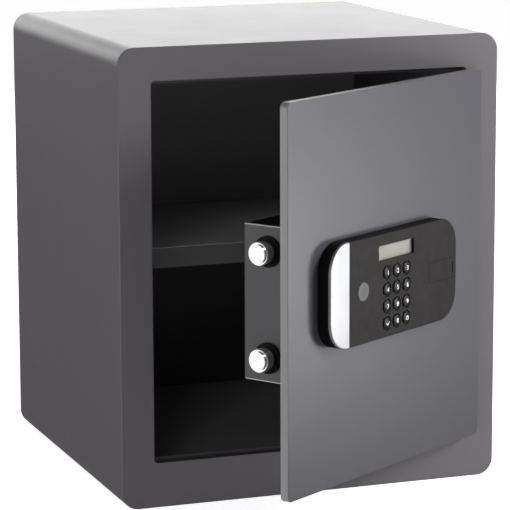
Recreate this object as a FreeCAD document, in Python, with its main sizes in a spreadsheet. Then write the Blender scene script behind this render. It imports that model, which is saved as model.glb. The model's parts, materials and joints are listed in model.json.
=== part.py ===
import FreeCAD, Part
import math
import os
import re
import Sketcher
from fcgear import fcgear, involute
from FreeCAD import Placement, Rotation, Vector

# An in-room safe: a bent steel box with an electronic lock on a side-hung door.
#
# Every piece is drawn in the position it has with the door shut:
#   X from the safe's middle plane, positive towards the hinge,
#   Y from the front plane into the safe,
#   Z up from the underside of the base.
# The placements at the end of each piece then move the origin to the middle of
# the base, and turn the pieces that hang on the door to its half-open position.

DOC = FreeCAD.newDocument("in_room_safe")
SHEET = DOC.addObject("Spreadsheet::Sheet", "Sizes")

SIZES = {
    # Carcass
    "body_width": 350, "body_height": 400, "body_depth": 330,
    "shell_sheet": 2, "corner_round": 15, "edge_round": 1,
    "frame_plate": 4, "border_left": 29, "border_right": 29.5,
    "border_top": 29, "border_bottom": 39.5, "opening_round": 4,
    "stop_depth": 8.5, "stop_reach": 3.3, "stop_sheet": 2,
    "anchor_radius": 6, "anchor_span": 230, "anchor_height": 250,
    "tray_top": 24.5, "tray_sheet": 1.5, "tray_gap": 0.5, "tray_front": 12,
    "tray_flange_half": 158, "tray_hole": 14,
    "mat_thick": 2.5, "mat_margin": 2,
    # Shelf
    "shelf_top": 208, "shelf_front": 107, "shelf_sheet": 1.5, "shelf_lip": 19,
    "shelf_back": 326, "shelf_side_gap": 1.5, "shelf_step": 1.5, "shelf_edge_round": 1,
    "rail_width": 15, "rail_drop": 14, "rail_sheet": 2, "rail_front": 115, "rail_back": 320,
    # Hinges
    "hinge_x": 163, "hinge_y": 18, "door_angle": 33,
    "hinge_low": 80, "hinge_high": 330,
    "pin_radius": 4, "running_gap": 0.05, "bush_radius": 5.5, "boss_radius": 7.5,
    "arm_thick": 5, "arm_inner": 27, "arm_outer": 37, "arm_start": 85, "arm_sweep": 110,
    "spoke_width": 8, "spoke_end": 35, "washer_thick": 1, "washer_radius": 7,
    "ear_thick": 3, "ear_reach": 8, "bracket_sheet": 2, "bracket_half": 12,
    "foot_left": 97, "foot_right": 136, "foot_thick": 5, "foot_half": 18,
    "gusset_left": 108, "gusset_back": 26,
    "foot_screw_x": 107, "foot_screw_pitch": 14, "foot_screw_rise": 11,
    # Door
    "door_thick": 7.5, "door_gap": 1.5, "hinge_gap": 2, "door_round": 5,
    "hinge_bevel": 6, "door_edge_round": 0.6,
    # Lock case on the back of the door
    "case_left": -124.5, "case_right": 95, "case_low": 134, "case_high": 264.6,
    "case_back": 60, "case_sheet": 1.5, "case_bend": 2.5, "case_edge_round": 1.2,
    "cap_recess": 1, "cap_thick": 1,
    "chassis_sheet": 2, "chassis_margin": 3,
    "pillar_radius": 3.5, "pillar_left": -100, "pillar_right": 86, "pillar_inset": 5.5,
    "case_screw_radius": 1.5, "case_screw_start": 48, "pillar_tap": 41,
    # Bolts
    "bolt_radius": 10, "bolt_middle": 198.8, "bolt_spacing": 88.8, "bolt_y": 34.3,
    "bolt_tip": -140.5, "bolt_tail": -72, "bolt_nose": 1.8, "bolt_nose_radius": 8,
    "bolt_bevel": 0.6, "bolt_screw_radius": 3,
    "bolt_tap": 10, "bolt_screw_reach": 8,
    "collar_radius": 13, "collar_proud": 2, "sleeve_radius": 12, "sleeve_end": -112,
    "strike_sheet": 2, "strike_low": 125, "strike_high": 275, "strike_back": 62,
    "strike_hole": 24,
    "carrier_thick": 5, "carrier_front": 25, "carrier_back": 44,
    "carrier_low": 146, "carrier_high": 252,
    # Drive
    "gear_module": 1, "pinion_teeth": 16, "pinion_x": -30, "pinion_z": 212,
    "pinion_front": 30.5, "pinion_back": 37.5, "shaft_radius": 2, "shaft_front": 24.5,
    "rack_front": 30, "rack_back": 38, "rack_end": 0, "rack_low": 196, "tooth_play": 0.05,
    "gearbox_left": -46, "gearbox_right": -14, "gearbox_low": 199, "gearbox_high": 230,
    "gearbox_back": 29.5, "motor_radius": 12, "motor_length": 42, "motor_z": 216,
    "motor_y": 22, "motor_boss": 4, "motor_boss_reach": 2,
    # Electronics in the case
    "board_left": -58, "board_right": 30, "board_low": 142, "board_high": 186,
    "board_y": 11, "board_thick": 1.6, "board_foot": 2.5, "foot_inset": 4,
    "chip_left": -28, "chip_low": 154, "chip_side": 16, "chip_rise": 3,
    "socket_left": 2, "socket_low": 176, "socket_width": 12, "socket_height": 7,
    "socket_rise": 7, "capacitor_x": -4, "capacitor_z": 158, "capacitor_radius": 4,
    "capacitor_rise": 9,
    "cable_x": -50, "cable_z": 176, "cable_radius": 2.5, "cable_hole": 5,
    "battery_radius": 7.2, "battery_length": 49.2, "battery_pitch": 15, "battery_nub": 2.7,
    "holder_left": 34, "holder_right": 91, "holder_low": 168, "holder_high": 232,
    "holder_front": 37, "holder_back": 55, "holder_wall": 2,
    "cover_thick": 2, "cover_rail": 1.5, "cover_margin": 3, "slide_gap": 0.3,
    "rib_left": 40, "rib_pitch": 4, "rib_rise": 1, "rib_half": 12,
    "reset_x": 20, "reset_z": 150, "reset_radius": 3, "reset_proud": 1.5,
    "reset_collar": 4.5, "switch_size": 6, "switch_rise": 4, "button_gap": 0.2,
    # Keypad unit on the front of the door
    "pad_left": -103.7, "pad_right": 83.9, "pad_low": 160.2, "pad_high": 248.8,
    "pad_round": 24, "pad_proud": 13.5, "pad_wall": 3, "pad_floor": 2,
    "fascia_thick": 2.5, "fascia_round": 0.8, "accent_right": -77.5, "seam": 0.25,
    "badge_x": -57.2, "badge_radius": 7.75, "badge_thick": 0.8, "badge_recess": 0.5,
    "lcd_left": -34.6, "lcd_right": 17.9, "lcd_low": 226, "lcd_high": 239.1,
    "lcd_lens": 1, "lcd_gap": 0.3, "lcd_border": 1.5,
    "key_radius": 4.8, "key_hole": 5.05, "key_proud": 1.4, "key_dome": 13, "key_travel": 1,
    "key_length": 5.4, "key_flange": 5.8, "key_flange_thick": 1.2,
    "key_dish": 6.4, "key_dish_deep": 1.2,
    "key_middle": -8, "key_pitch_x": 14.6, "key_top": 215.2, "key_pitch_z": 14.37,
    "mat_rubber": 2.4, "mat_side": 8, "mat_end": 7,
    "circuit_left": -74, "circuit_right": 36, "circuit_low": 164, "circuit_high": 245,
    "circuit_thick": 1.6, "circuit_stand": 2.4,
    "boss_left": -84, "boss_right": 70, "boss_low": 174, "boss_high": 235, "boss_size": 4.5,
    "boss_back": 9, "pad_screw_radius": 2, "pad_screw_reach": 6,
    # Emergency key lock and its cover
    "slot_left": 42, "slot_low": 195.4, "slot_high": 213.6, "block_margin": 5,
    "lock_x": 60, "lock_z": 204.5, "barrel_radius": 8, "barrel_back": 30,
    "plug_radius": 5, "keyway_width": 1.2, "keyway_height": 6, "keyway_depth": 3,
    "cam_gap": 1, "cam_thick": 2, "cam_length": 11, "cam_width": 7,
    "grip_width": 1.2, "grip_height": 9.5, "grip_depth": 0.8, "grip_inset": 5,
    # Screw heads
    "head_radius": 3.6, "head_thick": 2.2, "bolt_head_radius": 5, "bolt_head_thick": 4,
}

for row, (alias, number) in enumerate(SIZES.items(), start=1):
    SHEET.set(f"A{row}", str(number))
    SHEET.setAlias(f"A{row}", alias)
DOC.recompute()

TURNS = {
    "x": Rotation(Vector(0, 0, 1), Vector(1, 0, 0)),
    "y": Rotation(Vector(0, 0, 1), Vector(0, 1, 0)),
    "z": Rotation(),
}
NODES = []


# ---------------------------------------------------------------- drawing aids

def size(alias):
    """A driving dimension's number, read back from the sheet."""
    return float(SHEET.get(alias))


def formula(text):
    """An expression in which each alias points at its cell of the sheet."""
    words = re.compile(r"[a-z][a-z_]+")
    return words.sub(lambda word: f"Sizes.{word.group()}" if word.group() in SIZES
                     else word.group(), str(text))


def bind(thing, **properties):
    """Tie each property of a document object to a formula."""
    for name, text in properties.items():
        thing.setExpression(name.replace("__", "."), formula(text))
    return thing


def at(thing, x, y, z):
    """Tie a document object's position to three formulas."""
    return bind(thing, Placement__Base__x=x, Placement__Base__y=y, Placement__Base__z=z)


def box(x, y, z):
    """A block, from (low, high) formulas along each axis."""
    block = DOC.addObject("Part::Box", "Block")
    sides = {side: f"({high}) - ({low})"
             for side, (low, high) in zip(("Length", "Width", "Height"), (x, y, z))}
    bind(block, **sides)
    return at(block, x[0], y[0], z[0])


def rod(axis, radius, start, end, across):
    """A cylinder along one axis, between two formulas, at two cross positions."""
    cylinder = DOC.addObject("Part::Cylinder", "Rod")
    cylinder.Placement = Placement(Vector(), TURNS[axis])
    bind(cylinder, Radius=radius, Height=f"({end}) - ({start})")
    place = list(across)
    place.insert("xyz".index(axis), start)
    return at(cylinder, *place)


def cone(axis, radius_start, radius_end, start, end, across):
    """A cone frustum along one axis, set out like a rod."""
    frustum = DOC.addObject("Part::Cone", "Frustum")
    frustum.Placement = Placement(Vector(), TURNS[axis])
    bind(frustum, Radius1=radius_start, Radius2=radius_end, Height=f"({end}) - ({start})")
    place = list(across)
    place.insert("xyz".index(axis), start)
    return at(frustum, *place)


def ball(radius, x, y, z):
    """A sphere."""
    sphere = DOC.addObject("Part::Sphere", "Ball")
    bind(sphere, Radius=radius)
    return at(sphere, x, y, z)


def fuse(*pieces):
    """One solid from pieces that overlap or touch."""
    joined = DOC.addObject("Part::MultiFuse", "Joined")
    joined.Shapes = list(pieces)
    joined.Refine = True
    return joined


def cut(base, *tools):
    """A piece with the tools taken away."""
    left = DOC.addObject("Part::Cut", "Left")
    left.Base = base
    left.Tool = tools[0] if len(tools) == 1 else fuse(*tools)
    left.Refine = True
    return left


def common(one, other):
    """What two pieces share."""
    shared = DOC.addObject("Part::Common", "Shared")
    shared.Base = one
    shared.Tool = other
    return shared


def group(*pieces):
    """Separate solids kept in one piece."""
    together = DOC.addObject("Part::Compound", "Together")
    together.Links = list(pieces)
    return together


def sketch(body, role, level):
    """A sketch on one of the body's own origin planes, shifted by a formula."""
    plane = next(item for item in body.Origin.OriginFeatures if item.Role == role)
    drawing = body.newObject("Sketcher::SketchObject", "Sketch")
    drawing.AttachmentSupport = (plane, [""])
    drawing.MapMode = "FlatFace"
    return bind(drawing, AttachmentOffset__Base__z=level)


def measure(drawing, kind, *points, value):
    """A dimension of a sketch, tied to a formula."""
    index = drawing.addConstraint(Sketcher.Constraint(kind, *points, 1.0))
    drawing.setExpression(f"Constraints[{index}]", formula(value))


def rectangle(drawing, across, up):
    """A rectangle, from (low, high) formulas along the sketch's two axes."""
    first = drawing.GeometryCount
    corners = [Vector(0, 0, 0), Vector(1, 0, 0), Vector(1, 1, 0), Vector(0, 1, 0)]
    for corner, following in zip(corners, corners[1:] + corners[:1]):
        drawing.addGeometry(Part.LineSegment(corner, following), False)
    for side in range(4):
        drawing.addConstraint(Sketcher.Constraint(
            "Coincident", first + side, 2, first + (side + 1) % 4, 1))
        direction = "Vertical" if side % 2 else "Horizontal"
        drawing.addConstraint(Sketcher.Constraint(direction, first + side))
    measure(drawing, "DistanceX", -1, 1, first, 1, value=across[0])
    measure(drawing, "DistanceY", -1, 1, first, 1, value=up[0])
    measure(drawing, "DistanceX", first, 1, first, 2, value=f"({across[1]}) - ({across[0]})")
    measure(drawing, "DistanceY", first + 1, 1, first + 1, 2, value=f"({up[1]}) - ({up[0]})")


def circle(drawing, radius, across, up):
    """A circle, from formulas for its radius and centre."""
    index = drawing.addGeometry(Part.Circle(Vector(1, 1, 0), Vector(0, 0, 1), 1), False)
    measure(drawing, "Radius", index, value=radius)
    measure(drawing, "DistanceX", -1, 1, index, 3, value=across)
    measure(drawing, "DistanceY", -1, 1, index, 3, value=up)


def pad(body, drawing, length, reverse=True):
    """Material from a sketch; on the XZ plane the reverse way is into the safe."""
    feature = body.newObject("PartDesign::Pad", "Pad")
    feature.Profile = drawing
    feature.Reversed = reverse
    return bind(feature, Length=length)


def pocket(body, drawing, length, reverse=False):
    """A hole from a sketch; on the XZ plane the forward way is into the safe."""
    feature = body.newObject("PartDesign::Pocket", "Pocket")
    feature.Profile = drawing
    feature.Reversed = reverse
    return bind(feature, Length=length)


def fillet(body, radius, wanted):
    """Rounded edges, where an edge's middle point and direction are the wanted ones."""
    DOC.recompute()
    base = body.Tip
    names = []
    for number, edge in enumerate(base.Shape.Edges, start=1):
        middle = edge.valueAt((edge.FirstParameter + edge.LastParameter) / 2)
        run = edge.Vertexes[-1].Point - edge.Vertexes[0].Point
        if wanted(middle, run):
            names.append(f"Edge{number}")
    feature = body.newObject("PartDesign::Fillet", "Fillet")
    feature.Base = (base, names)
    return bind(feature, Radius=radius)


def along_y(middle, run):
    """Edges that run from front to back."""
    return abs(run.y) > 0.9 * run.Length > 0


def front_slab(name, x, z, level, thick, corner):
    """A PartDesign plate parallel to the front, with rounded corners."""
    body = DOC.addObject("PartDesign::Body", name)
    drawing = sketch(body, "XZ_Plane", f"-({level})")
    rectangle(drawing, x, z)
    pad(body, drawing, thick)
    fillet(body, corner, along_y)
    return body


def body_place():
    """From the drawing position to the frame at the middle of the base."""
    return Placement(Vector(0, -size("body_depth") / 2, 0), Rotation())


def door_place():
    """The same, with the door turned open about its hinge pins."""
    hinge = Vector(size("hinge_x"), size("hinge_y"), 0)
    swing = Placement(Vector(), Rotation(Vector(0, 0, 1), size("door_angle")), hinge)
    return body_place().multiply(swing)


def node(label, piece, place):
    """Name a finished sub-part and put it where it belongs."""
    piece.Label = label
    piece.Placement = place
    NODES.append(piece)


# ---------------------------------------------------------------- shared spans

HALF = "body_width / 2"
INSIDE = "body_width / 2 - shell_sheet"
OPENING_X = ("-body_width / 2 + border_left", "body_width / 2 - border_right")
OPENING_Z = ("border_bottom", "body_height - border_top")
CASE_X = ("case_left", "case_right")
CASE_INSIDE_X = ("case_left + case_sheet", "case_right - case_sheet")
PAD_FRONT = "-pad_proud"
FASCIA_BACK = "-pad_proud + fascia_thick"
BOLT_LEVELS = ("bolt_middle + bolt_spacing / 2", "bolt_middle - bolt_spacing / 2")
HINGE_LEVELS = {"lower": "hinge_low", "upper": "hinge_high"}
CIRCUIT_FRONT = "-pad_floor - circuit_stand - circuit_thick"
PILLARS = [(x, z) for x in ("pillar_left", "pillar_right")
           for z in ("case_low + pillar_inset", "case_high - pillar_inset")]
PAD_SCREWS = [(x, z) for x in ("boss_left", "boss_right") for z in ("boss_low", "boss_high")]


def widened(span, extra):
    """A (low, high) pair grown by a formula at both ends."""
    return f"({span[0]}) - ({extra})", f"({span[1]}) + ({extra})"


# --------------------------------------------------------------------- carcass

def make_body_shell():
    """One bent sheet: top, sides and floor, open at the front and back."""
    length = "body_depth - frame_plate"
    outer = front_slab("Outer", (f"-{HALF}", HALF), ("0", "body_height"),
                       "frame_plate", length, "corner_round")
    inner = front_slab("Inner", (f"-({INSIDE})", INSIDE),
                       ("shell_sheet", "body_height - shell_sheet"),
                       "frame_plate", length, "corner_round - shell_sheet")
    holes = [rod("z", "anchor_radius", "0", "shell_sheet",
                 (f"{side}anchor_span / 2", "body_depth / 2")) for side in ("-", "")]
    node("body_shell", cut(outer, inner, *holes), body_place())


def make_rear_panel():
    """The back, let in flush with the shell, with two wall anchor holes."""
    body = front_slab("Rear", (f"-({INSIDE})", INSIDE),
                      ("shell_sheet", "body_height - shell_sheet"),
                      "body_depth - shell_sheet", "shell_sheet", "corner_round - shell_sheet")
    holes = sketch(body, "XZ_Plane", "-(body_depth - shell_sheet)")
    for side in ("-", ""):
        circle(holes, "anchor_radius", f"{side}anchor_span / 2", "anchor_height")
    pocket(body, holes, "shell_sheet")
    node("rear_panel", body, body_place())


def make_front_frame():
    """The thick front plate with the door opening."""
    body = front_slab("Frame", (f"-{HALF}", HALF), ("0", "body_height"), "0",
                      "frame_plate", "corner_round")
    fillet(body, "edge_round", lambda middle, run: abs(middle.y) < 0.01)
    opening = sketch(body, "XZ_Plane", "0")
    rectangle(opening, OPENING_X, OPENING_Z)
    pocket(body, opening, "frame_plate")
    inner = size("body_width") / 2 - size("border_left") / 2
    top = size("body_height") - size("border_top") / 2
    fillet(body, "opening_round",
           lambda middle, run: along_y(middle, run) and abs(middle.x) < inner
           and size("border_bottom") - 1 < middle.z < top)
    node("front_frame", body, body_place())


def make_door_stop_frame():
    """A joggled ring behind the front plate that the shut door backs on to."""
    outer_x = widened(OPENING_X, "stop_sheet")
    outer_z = widened(OPENING_Z, "stop_sheet")
    body = front_slab("Stop", outer_x, outer_z, "frame_plate",
                      "stop_depth + stop_sheet - frame_plate", "opening_round")
    opening = sketch(body, "XZ_Plane", "-frame_plate")
    rectangle(opening, OPENING_X, OPENING_Z)
    pocket(body, opening, "stop_depth - frame_plate")
    ledge = sketch(body, "XZ_Plane", "-frame_plate")
    rectangle(ledge, widened(OPENING_X, "-stop_reach"), widened(OPENING_Z, "-stop_reach"))
    pocket(body, ledge, "stop_depth + stop_sheet")
    node("door_stop_frame", body, body_place())


def make_bolt_strike():
    """An angle behind the frame with a square hole for each thrown bolt."""
    face = box(("-body_width / 2 + border_left - strike_sheet", "-body_width / 2 + border_left"),
               ("stop_depth + stop_sheet", "strike_back"), ("strike_low", "strike_high"))
    web = box((f"-({INSIDE})", "-body_width / 2 + border_left - strike_sheet"),
              ("strike_back - strike_sheet", "strike_back"), ("strike_low", "strike_high"))
    holes = [box((f"-({INSIDE})", "-body_width / 2 + border_left"),
                 widened(("bolt_y", "bolt_y"), "strike_hole / 2"),
                 widened((level, level), "strike_hole / 2")) for level in BOLT_LEVELS]
    node("bolt_strike", cut(fuse(face, web), *holes), body_place())


def make_floor_tray():
    """A raised floor on two bent-down edges, with socket room over the anchor bolts."""
    under = "tray_top - tray_sheet"
    edge = f"{INSIDE} - tray_gap"
    panel = box((f"-({edge})", edge), ("tray_front", "shelf_back"), (under, "tray_top"))
    flange_x = ("-tray_flange_half", "tray_flange_half")
    flanges = [box(flange_x, (start, f"{start} + tray_sheet"), ("shell_sheet", under))
               for start in ("tray_front", "shelf_back - tray_sheet")]
    holes = [rod("z", "tray_hole", under, "tray_top",
                 (f"{side}anchor_span / 2", "body_depth / 2")) for side in ("-", "")]
    node("floor_tray", cut(fuse(panel, *flanges), *holes), body_place())


def make_floor_mat():
    """A thin felt mat laid on the floor tray, over its holes."""
    edge = f"{INSIDE} - tray_gap - mat_margin"
    sheet = box((f"-({edge})", edge), ("tray_front + mat_margin", "shelf_back - mat_margin"),
                ("tray_top", "tray_top + mat_thick"))
    node("floor_mat", group(sheet), body_place())


# ----------------------------------------------------------------------- shelf

def make_shelf():
    """A steel shelf whose front edge stands out over a lip welded under it."""
    body = DOC.addObject("PartDesign::Body", "Shelf")
    edge = f"({INSIDE}) - shelf_side_gap"
    profile = sketch(body, "YZ_Plane", f"-({edge})")
    rectangle(profile, ("shelf_front", "shelf_back"), ("shelf_top - shelf_lip", "shelf_top"))
    pad(body, profile, f"2 * ({edge})", reverse=False)
    front = size("shelf_front")
    fillet(body, "shelf_edge_round", lambda middle, run: abs(middle.y - front) < 0.01
           and abs(middle.z - size("shelf_top")) < 0.01 and abs(run.x) > 1)
    under = sketch(body, "YZ_Plane", f"({edge})")
    lip_span = ("shelf_top - shelf_lip", "shelf_top - shelf_sheet")
    rectangle(under, ("shelf_front", "shelf_front + shelf_step"), lip_span)
    rectangle(under, ("shelf_front + shelf_step + shelf_sheet", "shelf_back"), lip_span)
    pocket(body, under, f"2 * ({edge})")
    node("shelf", body, body_place())


def make_shelf_rails():
    """Two angles on the side walls that the lift-out shelf rests on."""
    top = "shelf_top - shelf_sheet"
    rails = []
    for side in (-1, 1):
        wall = sorted_span(side, "body_width / 2 - shell_sheet - rail_sheet", INSIDE)
        tread = sorted_span(side, "body_width / 2 - shell_sheet - rail_width", INSIDE)
        upright = box(wall, ("rail_front", "rail_back"), (f"{top} - rail_drop", top))
        flat = box(tread, ("rail_front", "rail_back"), (f"{top} - rail_sheet", top))
        rails.append(fuse(upright, flat))
    node("shelf_rails", group(*rails), body_place())


def sorted_span(side, near, far):
    """A (low, high) pair on one side of the middle plane."""
    return (near, far) if side > 0 else (f"-({far})", f"-({near})")


# ---------------------------------------------------------------------- hinges

def ear_start():
    """Height of a bracket ear above the middle of its arm."""
    return "arm_thick / 2 + washer_thick + 2 * running_gap"


def make_hinge_bracket(which, level):
    """A channel on the side wall whose two ears hold a pin."""
    top = f"{ear_start()} + ear_thick"
    back = box((f"{INSIDE} - bracket_sheet", INSIDE),
               ("hinge_y - bracket_half", "hinge_y + bracket_half"),
               (f"{level} - ({top})", f"{level} + ({top})"))
    reach = ("hinge_x - ear_reach", f"{INSIDE} - bracket_sheet")
    width = ("hinge_y - ear_reach", "hinge_y + ear_reach")
    ears = [box(reach, width, (f"{level} + {ear_start()}", f"{level} + {top}")),
            box(reach, width, (f"{level} - ({top})", f"{level} - ({ear_start()})"))]
    hole = rod("z", "pin_radius + running_gap", f"{level} - ({top})", f"{level} + {top}",
               ("hinge_x", "hinge_y"))
    node(f"hinge_bracket_{which}", cut(fuse(back, *ears), hole), body_place())


def make_hinge_pins():
    """A headed pin through each pair of ears."""
    pins = []
    for level in HINGE_LEVELS.values():
        top = f"{level} + {ear_start()} + ear_thick"
        shank = rod("z", "pin_radius", f"{level} - ({ear_start()}) - ear_thick - 2 * washer_thick",
                    top, ("hinge_x", "hinge_y"))
        head = rod("z", "pin_radius + 2 * washer_thick", top, f"{top} + 2 * washer_thick",
                   ("hinge_x", "hinge_y"))
        pins.append(fuse(shank, head))
    node("hinge_pins", group(*pins), body_place())


def make_hinge_washers():
    """A thrust washer above and below each arm."""
    washers = []
    for level in HINGE_LEVELS.values():
        for start in (f"{level} + arm_thick / 2 + running_gap",
                      f"{level} - arm_thick / 2 - running_gap - washer_thick"):
            disc = rod("z", "washer_radius", start, f"{start} + washer_thick",
                       ("hinge_x", "hinge_y"))
            hole = rod("z", "pin_radius + running_gap", start, f"{start} + washer_thick",
                       ("hinge_x", "hinge_y"))
            washers.append(cut(disc, hole))
    node("hinge_washers", group(*washers), body_place())


def arm_sector(radius, level):
    """A pie slice about the hinge axis, as thick as the arm."""
    slice_ = rod("z", radius, f"{level} - arm_thick / 2", f"{level} + arm_thick / 2",
                 ("hinge_x", "hinge_y"))
    slice_.Placement.Rotation = Rotation(Vector(0, 0, 1), size("arm_start"))
    return bind(slice_, Angle="arm_sweep")


def make_hinge_arm(which, level):
    """A goose-neck arm that carries the door round the edge of the frame."""
    span = (f"{level} - arm_thick / 2", f"{level} + arm_thick / 2")
    boss = rod("z", "boss_radius", *span, ("hinge_x", "hinge_y"))
    spoke = box(("0", "spoke_end"), ("-spoke_width / 2", "spoke_width / 2"), span)
    spoke.Placement.Rotation = Rotation(Vector(0, 0, 1), size("arm_start"))
    lean = f"{size('arm_start')} deg"
    at(spoke, f"hinge_x + spoke_width / 2 * sin({lean})",
       f"hinge_y - spoke_width / 2 * cos({lean})", span[0])
    neck = cut(arm_sector("arm_outer", level), arm_sector("arm_inner", level))
    foot = box(("foot_left", "foot_right"), ("door_thick", "door_thick + foot_thick"),
               (f"{level} - foot_half", f"{level} + foot_half"))
    gusset = box(("gusset_left", "hinge_x - arm_inner - washer_thick"),
                 ("door_thick + foot_thick", "gusset_back"), span)
    bore = rod("z", "bush_radius", *span, ("hinge_x", "hinge_y"))
    screw_holes = [rod("y", "pad_screw_radius", "door_thick", "door_thick + foot_thick", place)
                   for place in foot_screw_places(level)]
    node(f"hinge_arm_{which}", cut(fuse(boss, spoke, neck, foot, gusset), bore, *screw_holes),
         door_place())


def foot_screw_places(level):
    """The four screws of one arm's foot."""
    return [(x, f"{level} {side} foot_screw_rise")
            for x in ("foot_screw_x", "foot_screw_x + foot_screw_pitch") for side in ("-", "+")]


def make_hinge_screws():
    """The screws that hold both arms to the door."""
    back = "door_thick + foot_thick"
    screws = []
    for level in HINGE_LEVELS.values():
        for place in foot_screw_places(level):
            head = rod("y", "head_radius", back, f"{back} + head_thick", place)
            shank = rod("y", "pad_screw_radius", "door_thick / 2", back, place)
            screws.append(fuse(head, shank))
    node("hinge_screws", group(*screws), door_place())


def make_hinge_bushes():
    """A plain bush in each arm, running on its pin."""
    bushes = []
    for level in HINGE_LEVELS.values():
        span = (f"{level} - arm_thick / 2", f"{level} + arm_thick / 2")
        sleeve = rod("z", "bush_radius", *span, ("hinge_x", "hinge_y"))
        bore = rod("z", "pin_radius + running_gap", *span, ("hinge_x", "hinge_y"))
        bushes.append(cut(sleeve, bore))
    node("hinge_bushes", group(*bushes), door_place())


# ------------------------------------------------------------------------ door

def make_door_plate():
    """The door leaf, bevelled behind its hinge edge so that it swings clear."""
    body = front_slab("Leaf",
                      (f"{OPENING_X[0]} + door_gap", f"{OPENING_X[1]} - hinge_gap"),
                      widened(OPENING_Z, "-door_gap"), "0", "door_thick", "door_round")
    fillet(body, "door_edge_round", lambda middle, run: abs(middle.y) < 0.01)
    holes = sketch(body, "XZ_Plane", "0")
    circle(holes, "barrel_radius + button_gap", "lock_x", "lock_z")
    circle(holes, "cable_hole", "cable_x", "cable_z")
    for x, z in PAD_SCREWS:
        circle(holes, "pad_screw_radius", x, z)
    pocket(body, holes, "door_thick")
    blind = sketch(body, "XZ_Plane", "-door_thick")
    for level in HINGE_LEVELS.values():
        for x, z in foot_screw_places(level):
            circle(blind, "pad_screw_radius", x, z)
    pocket(body, blind, "door_thick / 2", reverse=True)
    wedge = box(("0", "3 * hinge_bevel"), ("0", "2 * sqrt(2) * hinge_bevel"), OPENING_Z)
    wedge.Placement.Rotation = Rotation(Vector(0, 0, 1), 45)
    at(wedge, f"{OPENING_X[1]} - hinge_gap + hinge_bevel / 2", "door_thick - 1.5 * hinge_bevel",
       OPENING_Z[0])
    node("door_plate", cut(body, wedge), door_place())


# ------------------------------------------------------------------- lock case

def make_lock_chassis():
    """The lock's base plate and its four pillars."""
    inner_x = widened(CASE_INSIDE_X, "-slide_gap")
    inner_z = ("case_low + chassis_margin", "case_high - chassis_margin")
    back = "door_thick + chassis_sheet"
    plate = box(inner_x, ("door_thick", back), inner_z)
    pillars = [rod("y", "pillar_radius", back, "case_back - case_sheet", place)
               for place in PILLARS]
    holes = [rod("y", "barrel_radius + button_gap", "0", back, ("lock_x", "lock_z")),
             rod("y", "cable_hole", "0", back, ("cable_x", "cable_z"))]
    holes += [rod("y", "pad_screw_radius", "0", back, place) for place in PAD_SCREWS]
    holes += [rod("y", "case_screw_radius", "pillar_tap", "case_back", place)
              for place in PILLARS]
    node("lock_chassis", cut(fuse(plate, *pillars), *holes), door_place())


def make_lock_case():
    """The steel channel round the lock: bolt side, back and hinge side."""
    body = DOC.addObject("PartDesign::Body", "Case")
    plan = sketch(body, "XY_Plane", "case_low")
    rectangle(plan, CASE_X, ("door_thick", "case_back"))
    pad(body, plan, "case_high - case_low", reverse=False)
    back = size("case_back")
    fillet(body, "case_bend", lambda middle, run: abs(run.z) > 10 and abs(middle.y - back) < 0.01)
    hollow = sketch(body, "XY_Plane", "case_high")
    rectangle(hollow, CASE_INSIDE_X, ("door_thick", "case_back - case_sheet"))
    pocket(body, hollow, "case_high - case_low")
    fillet(body, "case_bend - case_sheet",
           lambda middle, run: abs(run.z) > 10
           and abs(middle.y - back + size("case_sheet")) < 0.01)
    openings = sketch(body, "XZ_Plane", "-case_back")
    rectangle(openings, battery_opening_x(), battery_opening_z())
    circle(openings, "reset_radius + button_gap", "reset_x", "reset_z")
    for x, z in PILLARS:
        circle(openings, "case_screw_radius", x, z)
    pocket(body, openings, "case_sheet", reverse=True)
    collars = sketch(body, "YZ_Plane", "case_left")
    for level in BOLT_LEVELS:
        circle(collars, "sleeve_radius", "bolt_y", level)
    pocket(body, collars, "case_sheet", reverse=True)
    fillet(body, "case_edge_round", case_outer_edge)
    node("lock_case", fuse(body, *cover_rails()), door_place())


def case_outer_edge(middle, run):
    """The outer edges round the open top and bottom of the case."""
    on_face = abs(middle.x - size("case_left")) < 1 or abs(middle.x - size("case_right")) < 1
    return (abs(run.z) < 0.01 and middle.y > size("door_thick") + 1
            and (on_face or middle.y > size("case_back") - 1)
            and min(abs(middle.z - size("case_low")), abs(middle.z - size("case_high"))) < 0.01)


def battery_opening_x():
    return "holder_left + holder_wall", "holder_right - holder_wall"


def battery_opening_z():
    return "holder_low + holder_wall", "holder_high - holder_wall"


def cover_rails():
    """Two small angles on the case that the battery cover slides in."""
    edge = "cover_margin + slide_gap"
    face = "case_back + cover_thick + slide_gap"
    rails = []
    for side, level in ((1, "holder_high"), (-1, "holder_low")):
        sign = "+" if side > 0 else "-"
        inner = f"{level} {sign} ({edge})"
        outer = f"{inner} {sign} cover_rail"
        lip = f"{inner} {'-' if side > 0 else '+'} cover_rail"
        wall = (inner, outer) if side > 0 else (outer, inner)
        cap = (lip, outer) if side > 0 else (outer, lip)
        rails.append(box(battery_opening_x(), ("case_back", face), wall))
        rails.append(box(battery_opening_x(), (face, f"{face} + cover_rail"), cap))
    return rails


def make_case_end_caps():
    """Black plates let into the top and bottom of the case."""
    depth = ("door_thick + chassis_sheet + slide_gap", "case_back - case_sheet - slide_gap")
    span = widened(CASE_INSIDE_X, "-slide_gap")
    top = box(span, depth, ("case_high - cap_recess - cap_thick", "case_high - cap_recess"))
    low = box(span, depth, ("case_low + cap_recess", "case_low + cap_recess + cap_thick"))
    node("case_end_caps", group(top, low), door_place())


def make_case_screws():
    """Four screws through the back of the case into the pillars."""
    screws = []
    for place in PILLARS:
        head = rod("y", "head_radius", "case_back", "case_back + head_thick", place)
        shank = rod("y", "case_screw_radius", "case_screw_start", "case_back", place)
        screws.append(fuse(head, shank))
    node("case_screws", group(*screws), door_place())


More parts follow.
